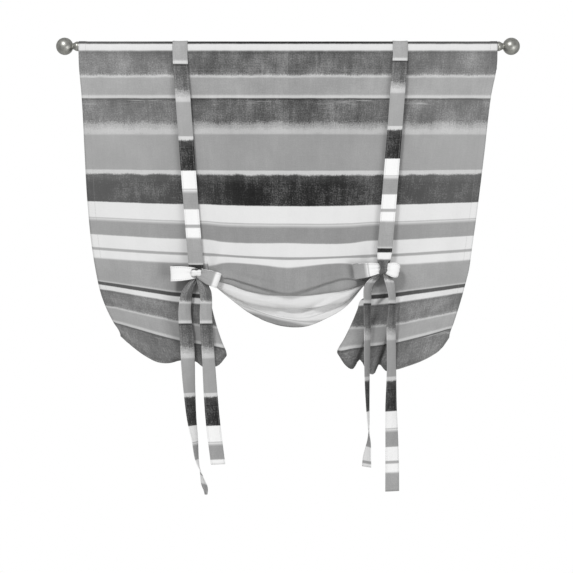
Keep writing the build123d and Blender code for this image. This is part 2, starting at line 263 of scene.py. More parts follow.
def addStripes(tree, downMm, wrapped, waver):
    # the ink's colour and its mottling; the dark washes' edges bleed, the others only waver
    repeat = stripes["repeat"]
    reach = 1.0
    for centre, half, bleed in stripes["bleeds"]:
        here = addNode(tree, "Math", isNear, {0: wrapped, 1: centre, 2: half})
        reach = addNode(tree, "Math", multiplyAdd, {0: here, 1: bleed, 2: reach})
    shifted = addNode(tree, "Math", multiplyAdd, {0: waver, 1: reach, 2: downMm})
    shifted = addNode(tree, "Math", wrap, {0: shifted, 1: repeat, 2: 0.0})
    place = addNode(tree, "Math", {"operation": "DIVIDE"}, {0: shifted, 1: repeat})

    bands, split = stripes["bands"], stripes["split"]
    upper = [band for band in bands if band[0] < split]
    lower = [band for band in bands if band[0] >= split]
    upperRamp = addNode(tree, "ValToRGB", None, {0: place})
    fillRamp(upperRamp, upper, bands[-1])
    lowerRamp = addNode(tree, "ValToRGB", None, {0: place})
    fillRamp(lowerRamp, lower, upper[-1])
    isLower = addNode(tree, "Math", isOver, {0: place, 1: split / repeat})
    color = addNode(tree, "Mix", mixColors,
                    {0: isLower, 6: upperRamp.outputs[0], 7: lowerRamp.outputs[0]})
    grain = addNode(tree, "Mix", {"data_type": "FLOAT"},
                    {0: isLower, 2: upperRamp.outputs[1], 3: lowerRamp.outputs[1]})
    return color.outputs[2], grain


def addStitches(tree, across, down, seams):
    # 1 on a seam's stitches and 0 elsewhere; a seam gives how it runs, its place and its stitch
    stitched = 0.0
    for run, place, stitch in seams:
        along, crossing = across, down
        if run == "upright":
            along, crossing = down, addNode(tree, "Math", absolute, {0: across})
        onSeam = addNode(tree, "Math", isNear,
                         {0: crossing, 1: place * mm, 2: linen["stitchWidth"] / 2 * mm})
        beat = addNode(tree, "Math", multiply,
                       {0: along, 1: 2 * math.pi / (stitch * mm)})
        beat = addNode(tree, "Math", sine, {0: beat})
        beat = addNode(tree, "Math", isOver, {0: beat, 1: linen["stitchBreak"]})
        shown = addNode(tree, "Math", multiply, {0: onSeam, 1: beat})
        stitched = addNode(tree, "Math", maximum, {0: stitched, 1: shown})
    return stitched


def addWeave(tree, across, down, slubs):
    # plain weave: threads over and under in both directions, thickened by slubs
    pitch = 2 * math.pi / (linen["threadSpacing"] * mm)
    warp = addNode(tree, "Math", multiply, {0: across, 1: pitch})
    warp = addNode(tree, "Math", sine, {0: warp})
    weft = addNode(tree, "Math", multiply, {0: down, 1: pitch})
    weft = addNode(tree, "Math", sine, {0: weft})
    thick = addNode(tree, "Math", multiply, {0: slubs, 1: linen["slubHeight"]})
    return addNode(tree, "Math", multiplyAdd, {0: warp, 1: weft, 2: thick})


def makePrintedLinen(name, seams, ink=1.0, reverse=False):
    material, tree, shader = newMaterial(name)
    place = addNode(tree, "UVMap", {"uv_map": "print"})
    parts = addNode(tree, "SeparateXYZ", None, {0: place})
    across, down = parts.outputs["X"], parts.outputs["Y"]
    downMm = addNode(tree, "Math", multiply, {0: down, 1: 1000.0})
    wrapped = addNode(tree, "Math", wrap, {0: downMm, 1: stripes["repeat"], 2: 0.0})

    speckle = addUnevenness(tree, place, linen["speckleSize"], 3.0)
    waver = addUnevenness(tree, place, linen["waverSize"], 5.0)
    waver = addNode(tree, "Math", multiplyAdd,
                    {0: speckle, 1: linen["edgeSpeckle"], 2: waver})
    color, grain = addStripes(tree, downMm, wrapped, waver)

    # ink mottling: speckle, broad blotches, upright brush marks, and slubs along both threads
    blotches = addUnevenness(tree, place, linen["blotchSize"], 4.0)
    brush = addUnevenness(tree, place, linen["brushSize"], 4.0)
    slubSize = (linen["slubLength"], linen["threadSpacing"] * 2)
    slubs = addNode(tree, "Math", add,
                    {0: addUnevenness(tree, place, slubSize, 2.0),
                     1: addUnevenness(tree, place, slubSize[::-1], 2.0)})
    mottle = 0.0
    for marks, share in ((speckle, "speckleInk"), (blotches, "blotchInk"),
                         (brush, "brushInk"), (slubs, "threadInk")):
        mottle = addNode(tree, "Math", multiplyAdd,
                         {0: marks, 1: linen[share], 2: mottle})
    mottle = addNode(tree, "Math", multiply, {0: mottle, 1: grain})
    strength = addNode(tree, "Math", multiplyAdd, {0: mottle, 1: ink, 2: ink})
    inked = addNode(tree, "VectorMath", {"operation": "SCALE"},
                    {0: color, "Scale": strength})

    bare = addNode(tree, "Math", maximum, {0: mottle, 1: 0.0})
    bare = addNode(tree, "Math", multiply, {0: bare, 1: linen["bareShare"]})
    dry = addNode(tree, "MapRange", None,
                  {0: addUnevenness(tree, place, linen["drySize"], 3.0), 1: linen["dryStart"],
                   2: linen["dryFull"], 3: 0.0, 4: linen["dryShare"]})
    dryHere = addNode(tree, "Math", isNear,
                      {0: wrapped, 1: linen["dryPlace"], 2: linen["dryReach"]})
    dry = addNode(tree, "Math", multiply, {0: dry, 1: dryHere})
    # painted light: a paler wash towards the side hems, standing in for light shining through the
    # cloth
    fromMiddle = addNode(tree, "Math", absolute, {0: across})
    paintedSideLight = addNode(tree, "MapRange", {"interpolation_type": "SMOOTHSTEP"},
                   {0: fromMiddle, 1: linen["paintedSideLightStart"] * mm, 2: linen["paintedSideLightFull"] * mm,
                    3: 0.0, 4: linen["paintedSideLightShare"]})
    stitched = addStitches(tree, across, down, seams)
    thread = addNode(tree, "Math", multiply, {0: stitched, 1: linen["stitchShare"]})
    tints = [(bare, "threadColor"), (dry, "dryColor"), (paintedSideLight, "paintedSideLightColor"), (thread, "stitchColor")]
    if reverse:
        tints.append((linen["reverseShare"], "reverseColor"))
    washed = inked.outputs[0]
    for share, tint in tints:
        washed = addNode(tree, "Mix", mixColors,
                         {0: share, 6: washed, 7: hexColor(linen[tint])}).outputs[2]

    weave = addWeave(tree, across, down, slubs)
    height = addNode(tree, "Math", multiplyAdd,
                     {0: stitched, 1: -linen["stitchDepth"], 2: weave})
    bump = addNode(tree, "Bump", None,
                   {"Strength": linen["bumpStrength"], "Distance": linen["threadBump"] * mm,
                    "Height": height})
    roughness = addNode(tree, "Math", multiplyAdd,
                        {0: speckle, 1: linen["roughnessSpeckle"], 2: linen["roughness"]})
    setInputs(tree, shader, {
        "Base Color": washed, "Roughness": roughness, "Normal": bump,
        "Sheen Weight": linen["sheen"], "Sheen Roughness": linen["sheenRoughness"],
        "Specular IOR Level": linen["specularLevel"],
    })
    return material


# Brushed nickel plate: a soft grey metal with fine lines round each turned piece
nickel = {
    "color": "#aeaea9",
    "shade": "#848480",
    "roughness": 0.4,
}

# Zinc plate: a cooler grey metal, a little brighter, on the studs
zinc = {
    "color": "#b9bcc0",
    "shade": "#93969a",
    "roughness": 0.38,
}

brushing = {
    "spacing": 0.4,            # real grit lines are finer, drawn coarser to show
    "length": 16.667,
    "blotch": 7.143,
    "lineShare": 0.5,
    "shadeFrom": 0.45,
    "shadeTo": 0.95,
    "roughnessSpread": 0.15,
    "roughnessDrop": 0.1,
    "bumpStrength": 0.35,
    "bumpHeight": 0.05,
}


def makeBrushedPlate(name, plate):
    material, tree, shader = newMaterial(name)
    spot = addNode(tree, "TexCoord").outputs["Object"]
    spacing, length = 1000 / brushing["spacing"], 1000 / brushing["length"]
    lines = addNode(tree, "Mapping", None,
                    {"Vector": spot, "Scale": (spacing, length, length)})
    brushed = addNode(tree, "TexNoise", None,
                      {"Vector": lines, "Scale": 1.0, "Detail": 2.0})
    cloud = addNode(tree, "TexNoise", None,
                    {"Vector": spot, "Scale": 1000 / brushing["blotch"], "Detail": 5.0})
    both = addNode(tree, "Math", multiplyAdd,
                   {0: brushed, 1: brushing["lineShare"], 2: cloud})
    colorRamp = addNode(tree, "ValToRGB", None, {0: both})
    darker, lighter = colorRamp.color_ramp.elements
    darker.position, darker.color = brushing["shadeFrom"], hexColor(plate["shade"])
    lighter.position, lighter.color = brushing["shadeTo"], hexColor(plate["color"])
    rough = addNode(tree, "Math", multiplyAdd,
                    {0: both, 1: brushing["roughnessSpread"],
                     2: plate["roughness"] - brushing["roughnessDrop"]})
    bump = addNode(tree, "Bump", None,
                   {"Strength": brushing["bumpStrength"],
                    "Distance": brushing["bumpHeight"] * mm, "Height": brushed})
    setInputs(tree, shader, {"Base Color": colorRamp, "Roughness": rough, "Normal": bump,
                             "Metallic": 1.0})
    return material


# Moulded polypropylene: a waxy white plastic with a faint mould texture
moulded = {
    "color": "#ececea",
    "shade": "#dcdcd8",
    "roughness": 0.5,
    "ior": 1.49,
    "grain": 1.11,
    "bumpStrength": 0.2,
    "bumpHeight": 0.05,
}


def makeMouldedPlastic(name):
    material, tree, shader = newMaterial(name)
    spot = addNode(tree, "TexCoord").outputs["Object"]
    grain = addNode(tree, "TexNoise", None,
                    {"Vector": spot, "Scale": 1000 / moulded["grain"], "Detail": 3.0})
    colorRamp = addNode(tree, "ValToRGB", None, {0: grain})
    darker, lighter = colorRamp.color_ramp.elements
    darker.color, lighter.color = hexColor(moulded["shade"]), hexColor(moulded["color"])
    bump = addNode(tree, "Bump", None,
                   {"Strength": moulded["bumpStrength"],
                    "Distance": moulded["bumpHeight"] * mm, "Height": grain})
    setInputs(tree, shader, {"Base Color": colorRamp, "Roughness": moulded["roughness"],
                             "IOR": moulded["ior"], "Normal": bump})
    return material


# Smooth surfaces through rows of given points

leastGap = 0.5


def smoothThrough(values, stops, places):
    # cubic curve through values at uneven stops, along the first axis
    values = np.asarray(values, float)
    stops = np.asarray(stops, float)
    spread = (-1,) + (1,) * (values.ndim - 1)
    step = np.diff(stops)
    slope = np.diff(values, axis=0) / step.reshape(spread)
    tangent = np.empty_like(values)
    tangent[0] = slope[0]
    tangent[-1] = slope[-1]
    share = (step[1:] / (step[:-1] + step[1:])).reshape(spread)
    tangent[1:-1] = share * slope[:-1] + (1 - share) * slope[1:]
    cell = np.clip(np.searchsorted(stops, places, side="right") - 1, 0, len(stops) - 2)
    width = step[cell].reshape(spread)
    t = ((places - stops[cell]) / step[cell]).reshape(spread)
    start = (1 + 2 * t) * (1 - t) ** 2 * values[cell] + t * (1 - t) ** 2 * width * tangent[cell]
    end = t**2 * (3 - 2 * t) * values[cell + 1] - t**2 * (1 - t) * width * tangent[cell + 1]
    return start + end


def evenPlaces(stops, step):
    # each span of the stops cut into even steps no longer than step
    places = [stops[0]]
    for start, end in zip(stops, stops[1:]):
        count = max(1, math.ceil((end - start) / step))
        places.extend(start + (end - start) * (i + 1) / count for i in range(count))
    return np.array(places)


def rowStops(rows):
    # how far down each row lies, as the mean distance from row to row, never none at all
    stops = [0.0]
    for row, following in zip(rows, rows[1:]):
        gap = np.linalg.norm(following[:, :3] - row[:, :3], axis=1).mean()
        stops.append(stops[-1] + max(gap, leastGap))
    return stops


def lerp(start, end, share):
    return start + (end - start) * share


# The curtain's cloth, one sheet: rod pocket, panel, gathered swag and two tails

cloth = {
    "width": 1067.0,
    "flatLength": 1230.0,      # with the hem's and the pocket's turnings
    "thickness": 1.0,
    "hemThickness": 2.4,
    "sideHem": 18.0,
    "bottomHem": 25.0,
    "stitch": 4.0,
    "hemPrint": 1089.0,        # where the bottom hem's seam lies on the print
    "panelStep": 9.0,          # mesh steps down the panel, down its folds, and across
    "foldStep": 4.0,
    "sideStep": 6.5,
    "middleStep": 4.0,
    "pocketRadius": 12.05,
    "pocketDrop": 59.5,        # from the rod's axis to the pocket's seam
    "pocketShoulder": -6.0,    # height at which the pocket starts to round the rod
    "pocketShares": (0.4, 0.75, 0.97),
    "pocketGap": (0.8, 1.6),   # depth of its front and of its rear at the seam
    "printTop": 12.8,          # height of the print's first line above the rod's axis
    "pocketPrint": [(-59.5, 72.3), (-13.0, 22.0), (5.0, 5.5), (12.4, 0.0)],
    "rearPrint": -2.0,         # where the print starts behind the rod
    "knotDrop": 592.0,         # where the row that holds the pinches hangs
    "panelDrops": [130.0, 260.0, 420.0, 525.0],
    "pinchFlat": 262.0,        # where the pinches are on the flat cloth, from its middle
    "middleSag": 0.037,
    "liftStart": 270.0,        # how far down the sides begin to lift and the middle to sag
    "pullStart": 400.0,        # and how far down the sides begin to draw in
    "belly": 24.0,
    "roundness": 2.2,          # higher makes the middle fuller between the pinches
    "ripple": 8.0,
    # soft waves in the hanging cloth: depth, spacing, slant and phase
    "broadWave": (1.3, 190.0, 0.0, 0.6),
    "fineWaves": [(0.8, 97.0, 0.12, 2.0), (0.45, 53.0, -0.2, 1.0)],
    "waveEase": 80.0,          # how far below the pocket they reach their full depth
    "waveLimit": 1.4,          # most the broad ones grow by on the way down
    "backWaves": 0.3,          # their share on the tails' turned-up backs
    # uneven dents: depth and how close together across and down the cloth
    "dents": [(0.9, 0.021, 0.013, 3.7), (0.35, 0.06, 0.045, 9.1)],
    # folds that fan out from each pinch
    "fanDepth": 3.2,
    "fanFolds": 7,
    "fanReach": 120.0,
    "fanStart": 30.0,
}

# what differs between the two sides: side is -1 on the left and 1 on the right; tailFold
# is the tail's lowest fold from its outer edge in, and stripeLines says where a place on
# the print lies on the tail's front, as x and z
sides = {
    "left": {
        "side": -1,
        "pinch": (-206, -8, -592),
        "taper": 0.052,
        "cornerPull": 11.0,
        "edgeLift": 0.062,
        "bow": (10.5, 7.5),        # how far the tail's outer and inner edges curve outwards
        "fanPhase": 0.5,
        "tailFold": [
            (-430, 26, -735), (-402, 19, -760), (-367, 8, -785), (-330, -4, -802),
            (-300, -8, -803), (-276, -3, -797), (-252, 4, -798), (-234, 7, -801),
            (-219, -5, -812), (-198, -11, -813), (-176, -9, -808), (-157, 1, -785),
        ],
        "stripeLines": [
            (636, [(-500, -600), (-300, -631), (-180, -640)]),
            (728, [(-461, -665.6), (-277, -706.5), (-177, -720.5)]),
            (781, [(-447, -703), (-276, -751), (-158, -769)]),
        ],
    },
    "right": {
        "side": 1,
        "pinch": (200, -8, -598),
        "taper": 0.1176,
        "cornerPull": 2.7,
        "edgeLift": 0.043,
        "bow": (2.2, 7.5),
        "fanPhase": 1.4,
        "tailFold": [
            (414, 26, -739), (393, 19, -768), (367, 8, -786), (340, -1, -799),
            (306, -8, -811), (275, -11, -820), (249, -5, -823), (232, 10, -808),
            (222, -7, -828), (204, -10, -827), (184, 10, -795), (166, -8, -818),
            (149, -11, -811), (126, -3, -778),
        ],
        "stripeLines": [
            (636, [(188, -641), (272, -634), (462, -608)]),
            (728, [(140, -724), (272, -713.5), (430, -682)]),
            (781, [(124, -775), (186, -768), (272, -755.7), (420, -718)]),
        ],
    },
}

# rows down a tail's front and up its back, as shares of the way from the pinch to the fold
tailShape = {
    "frontShares": [0.045, 0.19, 0.28, 0.4, 0.62, 0.82, 1.0],
    "backShares": [0.9, 0.62, 0.4, 0.28, 0.19, 0.05],
    "foldRadius": 5.0,
    "foldPrint": (7.0, 15.0),  # how much print goes into the fold, to its middle and its end
    "lastSpan": (60.0, 54.0),  # height below the last stripe line, and the print in it
    "backDepth": (12.0, 19.0),
    "backSwing": 22.0,
    "backTuck": 4.0,           # how far the back layer's inner edge hides behind the front's
    "slingRoom": 9.5,          # room left for the strap that goes under the cloth
    "slingShares": (0.045, 0.19),
}

# The swag's folds: heights at even steps from the left pinch to the right one, then
# depths at the pinches and at the middle. The panel's last row lies over the front fold,
# raised by panelRise. The swag's rows go from the front fold to the hem:
# which fold, rise and setback at the pinches and at the middle, and the print there.
swag = {
    "columns": 9,
    "folds": {
        "panelEnd": ([-596, -592, -605, -620, -632, -621, -604, -593, -602], (-8.0, -32.0)),
        "front": ([-596, -592, -605, -620, -632, -621, -604, -593, -602], (-9.0, -34.0)),
        "second": ([-598, -606, -624, -634, -637, -636, -630, -622, -606], (-3.0, -21.0)),
        "third": ([-600, -633, -655, -665, -669, -669, -662, -650, -609], (2.5, -10.0)),
        "hem": ([-602, -640, -677, -703, -716, -715, -695, -665, -612], (8.5, 3.0)),
    },
    "rows": [
        ("front", (0.0, 0.0), (0.0, 0.0), 621),
        ("front", (0.0, 0.0), (2.4, 5.0), 625),
        ("front", (4.0, 50.0), (4.0, 13.0), 690),
        ("second", (0.0, 0.0), (0.0, 0.0), 764),
        ("second", (0.0, 0.0), (2.4, 5.0), 768),
        ("second", (4.0, 55.0), (3.6, 8.0), 990),
        ("third", (0.0, 0.0), (0.0, 0.0), 1080),
        ("third", (0.0, 0.0), (2.4, 5.0), 1082),
        ("third", (4.0, 77.0), (3.8, 8.0), 1012),
        ("hem", (3.0, cloth["bottomHem"]), (0.0, 0.0), 1088),
        ("hem", (0.0, 0.0), (0.0, 0.0), 1092),
    ],
    "panelRise": (4.0, 28.0),
    "hemWave": (32.0, -0.12, 0.36),    # extra print at the hem: most, place, spread
    "pinchInset": 0.4,
}


def pinchPoint(side, drop):
    # the column of cloth that runs from the pocket down to a pinch
    x, y, z = side["pinch"]
    share = drop / cloth["knotDrop"]
    return np.array([
        lerp(side["side"] * cloth["pinchFlat"], x, share**1.2),
        y * share**1.5,
        -drop + (z + cloth["knotDrop"]) * share**3,
    ])


def tailShares(side):
    fold = np.array(side["tailFold"], float)
    return (fold[:, 0] - fold[0, 0]) / (fold[-1, 0] - fold[0, 0])


def outerRow(side, drop):
    # one row between the side edge and the pinch's column
    shares = tailShares(side)
    reach = cloth["width"] / 2 - side["taper"] * drop
    pull = max(0.0, drop - cloth["pullStart"]) / (cloth["knotDrop"] - cloth["pullStart"])
    reach -= side["cornerPull"] * pull**2
    inner = pinchPoint(side, drop)
    lift = side["edgeLift"] * max(0.0, drop - cloth["liftStart"])
    sway = cloth["ripple"] * (drop / cloth["knotDrop"]) ** 1.5
    return np.stack([
        lerp(side["side"] * reach, inner[0], shares),
        -sway * np.cos(3 * np.pi * (1 - shares)),
        lerp(-drop, inner[2], shares) + lift * (1 - shares) ** 1.5,
    ], axis=1)


def middleRow(drop):
    # one row between the two pinches' columns
    share = np.linspace(0, 1, swag["columns"])
    hump = 1 - np.abs(2 * share - 1) ** cloth["roundness"]
    start, end = pinchPoint(sides["left"], drop), pinchPoint(sides["right"], drop)
    row = start + (end - start) * share[:, None]
    row[:, 1] -= cloth["belly"] * (drop / cloth["knotDrop"]) ** 2 * hump
    row[:, 2] -= cloth["middleSag"] * max(0.0, drop - cloth["liftStart"]) * hump
    return row


def wholeRow(drop):
    left = outerRow(sides["left"], drop)
    right = outerRow(sides["right"], drop)[::-1]
    return np.concatenate([left, middleRow(drop)[1:-1], right])


def pocketRows():
    # the cloth goes up behind the rod, over it and down in front to the seam
    radius, drop = cloth["pocketRadius"], cloth["pocketDrop"]
    front, rear = cloth["pocketGap"]
    spread = [(share**0.8, lerp(-drop, cloth["pocketShoulder"], share))
              for share in cloth["pocketShares"]]
    section = [(rear, -drop)]
    section += [(lerp(rear, radius, share), height) for share, height in spread]
    for step in range(9):
        angle = math.pi * step / 8
        section.append((radius * math.cos(angle), radius * math.sin(angle)))
    section += [(-lerp(front, radius, share), height) for share, height in spread[::-1]]
    flat = wholeRow(0.0)
    rows = []
    for depth, height in section:
        row = flat.copy()
        row[:, 1] = depth
        row[:, 2] = height
        rows.append(row)
    return rows


def foldRow(fold, rise, setback):
    # a fold's line across the swag, raised and set back at the pinches and at the middle
    heights, depths = swag["folds"][fold]
    place = np.linspace(-1, 1, swag["columns"])
    hump = 1 - np.abs(place) ** cloth["roundness"]
    left, right = sides["left"]["pinch"], sides["right"]["pinch"]
    inset = (depths[0] - left[1]) * swag["pinchInset"] * place**5
    return np.stack([
        np.linspace(left[0], right[0], swag["columns"]) - inset,
        lerp(depths[0] + setback[0], depths[1] + setback[1], hump),
        np.array(heights, float) + lerp(rise[0], rise[1], 1 - place**2),
    ], axis=1)


def swagRows():
    # the folded cloth from its front fold down to its hem, with the print at each row
    rows = [(foldRow(*shape), down) for *shape, down in swag["rows"]]
    most, centre, spread = swag["hemWave"]
    place = np.linspace(-1, 1, swag["columns"])
    lowest, down = rows[-1]
    rows[-1] = (lowest, down + most * np.exp(-((place - centre) / spread) ** 2))
    return rows


def tailRow(top, side, share):
    fold = np.array(side["tailFold"], float)
    shares = tailShares(side)
    row = top + (fold - top) * share
    bow = side["side"] * lerp(*side["bow"], shares) * math.sin(math.pi * share)
    if tailShape["slingShares"][0] <= share <= tailShape["slingShares"][1]:
        room = side["side"] * tailShape["slingRoom"] - share * (fold[-1, 0] - top[-1, 0])
        bow = lerp(bow, room, shares**2)
    row[:, 0] += bow
    return row


def printAt(row, top, side):
    # the print at a tail's row, from where its stripes lie between the pinch and the fold
    found = []
    for (x, _, z), (_, _, topZ) in zip(row, top):
        heights = [topZ]
        prints = [cloth["knotDrop"] + cloth["printTop"]]
        for down, line in side["stripeLines"]:
            heights.append(np.interp(x, [point[0] for point in line], [point[1] for point in line]))
            prints.append(down)
        heights.append(heights[-1] - tailShape["lastSpan"][0])
        prints.append(prints[-1] + tailShape["lastSpan"][1])
        found.append(smoothThrough(prints, [-height for height in heights], np.array([-z]))[0])
    return np.array(found)


def tailRows(top, side):
    # a tail's front down to its lowest fold, then its back up to the hem
    shares = tailShares(side)
    radius = tailShape["foldRadius"]
    halfTurn, turn = tailShape["foldPrint"]
    hemPrint = cloth["hemPrint"] + cloth["bottomHem"]
    rows = []
    for share in tailShape["frontShares"]:
        row = tailRow(top, side, share)
        rows.append((row, printAt(row, top, side)))
    lowest, foldPrint = rows[-1]
    rows.append((lowest + [0, radius, -radius], foldPrint + halfTurn))
    rows.append((lowest + [0, 2 * radius, 0], foldPrint + turn))
    for share in tailShape["backShares"]:
        row = tailRow(top, side, share)
        row[:, 1] = lerp(*tailShape["backDepth"], share)
        row[:, 1] += tailShape["backSwing"] * share * (1 - shares) ** 2
        row[:, 0] += side["side"] * tailShape["backTuck"] * shares**2
        rows.append((row, lerp(hemPrint, foldPrint + turn, share)))
    return rows


def withPrint(row, acrossFlat, down):
    # a row's points followed by their place on the flat, printed cloth
    extra = np.stack([acrossFlat, np.broadcast_to(down, acrossFlat.shape)], axis=1)
    return np.concatenate([row, extra], axis=1)


def flatStops():
    # each column's place across the flat cloth, from its left edge
    leftShares = tailShares(sides["left"])
    rightShares = tailShares(sides["right"])[::-1]
    sideWidth = cloth["width"] / 2 - cloth["pinchFlat"]
    middleWidth = 2 * cloth["pinchFlat"]
    return np.concatenate([
        leftShares * sideWidth,
        sideWidth + np.linspace(0, middleWidth, swag["columns"])[1:-1],
        sideWidth + middleWidth + (1 - rightShares) * sideWidth,
    ])


def upperRows(flat, leftEnd, rightStart):
    # the pocket and the panel, down to the row that holds both pinches
    rows = []
    for row in pocketRows():
        depth, height = row[0, 1:]
        down = np.interp(height, *zip(*cloth["pocketPrint"]))
        isRear = round(depth) > 0
        rows.append(withPrint(row, flat, cloth["rearPrint"] - down if isRear else down))
    for drop in cloth["panelDrops"]:
        rows.append(withPrint(wholeRow(drop), flat, drop + cloth["printTop"]))
    pinchRow = wholeRow(cloth["knotDrop"])
    pinchRow[leftEnd - 1:rightStart + 1] = foldRow("panelEnd", swag["panelRise"], (0.0, 0.0))
    pinchRow[leftEnd - 1] = sides["left"]["pinch"]
    pinchRow[rightStart] = sides["right"]["pinch"]
    rows.append(withPrint(pinchRow, flat, cloth["knotDrop"] + cloth["printTop"]))
    return rows, pinchRow


def makeClothGrids():
    leftEnd = len(sides["left"]["tailFold"])
    rightStart = leftEnd + swag["columns"] - 2
    acrossStops = flatStops()
    flat = wholeRow(0.0)[:, 0]
    upper, pinchRow = upperRows(flat, leftEnd, rightStart)
    left = [withPrint(row, flat[:leftEnd], down)
            for row, down in tailRows(pinchRow[:leftEnd], sides["left"])]
    middle = [withPrint(row, flat[leftEnd - 1:rightStart + 1], down) for row, down in swagRows()]
    right = [withPrint(row[::-1], flat[rightStart:], np.asarray(down)[::-1])
             for row, down in tailRows(pinchRow[rightStart:][::-1], sides["right"])]

    # make the rows fine across the cloth, then cut each zone out of them and make it fine downwards
    upperStops = rowStops(upper)
    zones = (
        (0, leftEnd, left, cloth["sideStep"]),
        (leftEnd - 1, rightStart + 1, middle, cloth["middleStep"]),
        (rightStart, len(flat), right, cloth["sideStep"]),
    )
    places = np.unique(np.concatenate([
        evenPlaces(acrossStops[start:end], step) for start, end, _, step in zones]).round(6))
    fineUpper = [smoothThrough(row, acrossStops, places) for row in upper]
    grids = []
    for start, end, lower, _ in zones:
        stops = acrossStops[start:end]
        inside = (places >= stops[0] - 1e-5) & (places <= stops[-1] + 1e-5)
        fine = [row[inside] for row in fineUpper]
        fine += [smoothThrough(row, stops, places[inside]) for row in lower]
        lowerStops = [upperStops[-1] + stop for stop in rowStops(fine[len(upper) - 1:])]
        downStops = np.array(upperStops + lowerStops[1:])
        downPlaces = np.concatenate([
            evenPlaces(upperStops, cloth["panelStep"]),
            evenPlaces(lowerStops, cloth["foldStep"])[1:],
        ])
        grid = smoothThrough(np.array(fine), downStops, downPlaces)
        grids.append({"grid": grid, "below": downPlaces > upperStops[-1] + 1e-6,
                      "foldStops": downStops[len(upper) - 1:], "downPlaces": downPlaces})
    for before, other in zip(grids, grids[1:]):
        other["grid"][~other["below"], 0] = before["grid"][~before["below"], -1]
    return grids


# creases pressed into the cloth where it is drawn together: points along
# each crease in x and z, then its depth and its width
creases = {
    "swagFront": [
        ([(-178, -568), (-120, -594), (-60, -612), (2, -622), (60, -606), (130, -590)], 3.6, 6.0),
        ([(62, -580), (110, -576), (160, -572)], 3.0, 8.0),
        ([(-20, -604), (20, -598), (70, -590)], 2.0, 8.0),
    ],
    "swagBack": [
        ([(-165, -612), (-128, -624), (-70, -640), (-30, -648), (10, -652), (60, -640)], 3.6, 4.0),
        ([(-46, -663), (5, -682), (36, -680), (84, -660), (140, -634)], 5.0, 4.5),
        ([(-130, -655), (-84, -676), (-53, -688), (5, -696), (64, -690), (122, -669)], 4.4, 4.0),
        ([(-96, -690), (-46, -700), (10, -706), (60, -702)], 3.0, 4.0),
        ([(90, -648), (140, -634), (172, -620)], 3.4, 4.0),
    ],
}


def creaseDepth(x, z, lines):
    # a ridge on one side of each crease's line, a hollow on the other, and nothing at its ends
    total = np.zeros_like(x)
    for points, depth, width in lines:
        nearest = np.full_like(x, 1e9)
        signed = np.zeros_like(x)
        place = np.zeros_like(x)
        for number, ((x0, z0), (x1, z1)) in enumerate(zip(points, points[1:])):
            runX, runZ = x1 - x0, z1 - z0
            t = np.clip(((x - x0) * runX + (z - z0) * runZ) / (runX**2 + runZ**2), 0, 1)
            dx, dz = x - lerp(x0, x1, t), z - lerp(z0, z1, t)
            distance = np.hypot(dx, dz)
            closer = distance < nearest
            signed = np.where(closer, distance * np.sign(dz + 1e-9), signed)
            place = np.where(closer, (number + t) / (len(points) - 1), place)
            nearest = np.minimum(nearest, distance)
        taper = np.sin(np.pi * place) ** 0.7
        total += taper * depth * (signed / width) * np.exp(0.5 - 0.5 * (signed / width) ** 2)
    return total


def pinchFolds(x, z, side):
    # folds that fan out above and beside a pinch and die away from it
    dx, dz = x - side["pinch"][0], z - side["pinch"][2]
    reach = np.hypot(dx, dz)
    strength = np.exp(-(reach / cloth["fanReach"]) ** 2)
    strength *= 1 - np.exp(-(reach / cloth["fanStart"]) ** 2)
    angle = np.arctan2(dx, dz)
    return cloth["fanDepth"] * strength * np.sin(cloth["fanFolds"] * angle + side["fanPhase"])


def softWave(x, z, depth, spacing, slant, phase):
    return depth * np.sin(2 * np.pi * (x + slant * z) / spacing + phase)


def addClothDetail(zones):
    for number, zone in enumerate(zones):
        grid, stops = zone["grid"], zone["foldStops"]
        down = zone["downPlaces"][:, None]
        isSwag = number == 1
        x, z = grid[..., 0], grid[..., 2]
        drop = np.clip(-z / cloth["knotDrop"], 0, cloth["waveLimit"])
        under = np.clip((-z - cloth["pocketDrop"]) / cloth["waveEase"], 0, 1)
        waves = drop * softWave(x, z, *cloth["broadWave"])
        for wave in cloth["fineWaves"]:
            waves += softWave(x, z, *wave)
        frontEnd = stops[0 if isSwag else len(tailShape["frontShares"])]
        front = down <= frontEnd + 1e-6
        fans = pinchFolds(x, z, sides["left"]) + pinchFolds(x, z, sides["right"])
        grid[..., 1] += under * waves * np.where(front, 1.0, cloth["backWaves"])
        grid[..., 1] += under * fans * front
        if isSwag:
            frontFold, secondTurn, thirdFold, thirdTurn = (stops[row] for row in (1, 5, 7, 9))
            beforeFront = down <= frontFold + 1
            atBack = (down > secondTurn) & (down < thirdFold + 1) | (down > thirdTurn)
            grid[..., 1] += beforeFront * creaseDepth(x, z, creases["swagFront"])
            grid[..., 1] += atBack * creaseDepth(x, z, creases["swagBack"])
        for row in grid:
            for point in row:
                for depth, across, along, level in cloth["dents"]:
                    spot = Vector((point[3] * across, point[4] * along, level))
                    point[1] += depth * noise.noise(spot)


def newPiece(name, bm, materials):
    mesh = bpy.data.meshes.new(name)
    bm.to_mesh(mesh)
    bm.free()
    for polygon in mesh.polygons:
        polygon.use_smooth = True
    for material in materials:
        mesh.materials.append(material)
    piece = bpy.data.objects.new(name, mesh)
    bpy.context.scene.collection.objects.link(piece)
    return piece


def addSheetGrid(bm, grid, layers):
    # an even grid of faces, each corner moved to its place on the cloth
    rows, columns = grid.shape[:2]
    made = bmesh.ops.create_grid(bm, x_segments=columns - 1, y_segments=rows - 1, size=1.0)
    for vert in made["verts"]:
        column = round((vert.co.x + 1) / 2 * (columns - 1))
        row = round((1 - vert.co.y) / 2 * (rows - 1))
        x, y, z, across, down = grid[row, column]
        vert.co = Vector((x, y, z)) * mm
        vert[layers["across"]] = across * mm
        vert[layers["down"]] = down * mm


def newSheetMesh():
    bm = bmesh.new()
    layers = {
        "across": bm.verts.layers.float.new("across"),
        "down": bm.verts.layers.float.new("down"),
        "uv": bm.loops.layers.uv.new("print"),
    }
    return bm, layers


